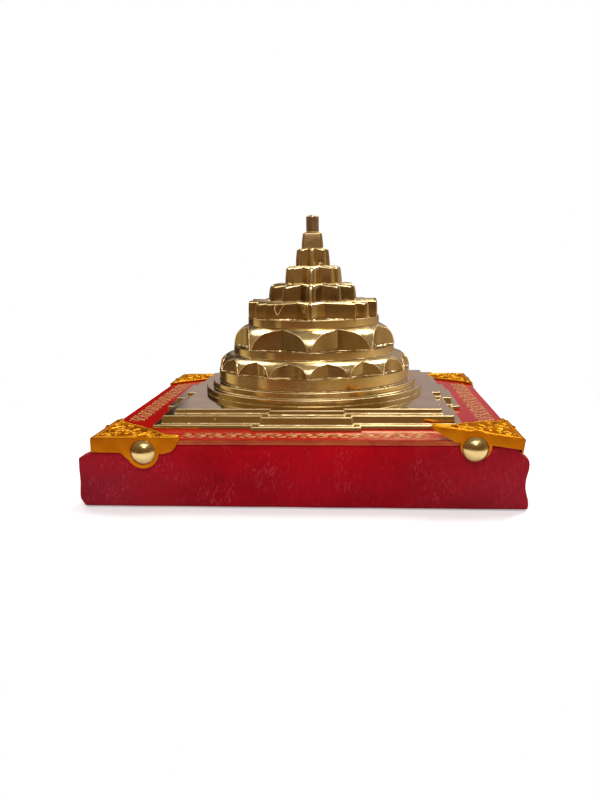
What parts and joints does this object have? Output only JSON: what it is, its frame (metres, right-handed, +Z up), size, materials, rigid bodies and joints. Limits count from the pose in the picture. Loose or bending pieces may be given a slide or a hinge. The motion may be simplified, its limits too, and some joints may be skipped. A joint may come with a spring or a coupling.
{
  "type": "meru shri yantra",
  "caption": "Stepped brass pyramid of star tiers and lotus rings on a square gated base, resting loose on a red plate held to a velvet-covered board by corner brackets.",
  "frame": {"origin": "middle of the underside of the board", "axes": "+Z up, -Y to the front with the triangle tier's flat side, +X to the viewer's right"},
  "size_m": [0.1526, 0.1512, 0.1012],
  "materials": {
    "polished_brass": "polished cast brass",
    "tack_brass": "bright pressed brass",
    "gold_sheet": "gold-coloured stamped sheet",
    "red_gloss": "glossy red sheet",
    "velvet": "red velvet",
    "core_wood": "plain board",
    "backing_card": "dark card",
    "steel": "plain steel"
  },
  "bodies": {
    "base": {"board_core": "core_wood", "velvet_cover": "velvet", "backing_sheet": "backing_card", "red_plate": "red_gloss", "corner_bracket_front_left": "gold_sheet", "corner_bracket_front_right": "gold_sheet", "corner_bracket_rear_right": "gold_sheet", "corner_bracket_rear_left": "gold_sheet", "dome_tack_front_left_a": "tack_brass", "dome_tack_front_left_b": "tack_brass", "dome_tack_front_right_a": "tack_brass", "dome_tack_front_right_b": "tack_brass", "dome_tack_rear_right_a": "tack_brass", "dome_tack_rear_right_b": "tack_brass", "dome_tack_rear_left_a": "tack_brass", "dome_tack_rear_left_b": "tack_brass"},
    "yantra": {"square_base": "polished_brass", "circular_steps": "polished_brass", "sixteen_petal_ring": "polished_brass", "eight_petal_ring": "polished_brass", "star_drum": "polished_brass", "fourteen_point_tier": "polished_brass", "outer_ten_point_tier": "polished_brass", "inner_ten_point_tier": "polished_brass", "eight_point_tier": "polished_brass", "triangle_tier": "polished_brass", "bindu": "polished_brass", "tie_rod": "steel", "tie_washer": "steel", "tie_nut": "steel"}
  },
  "joints": [
    {"name": "yantra_lift", "type": "slide", "parent": "base", "child": "yantra", "axis": [0, 0, 1], "range_m": [0, 0.06]}
  ]
}
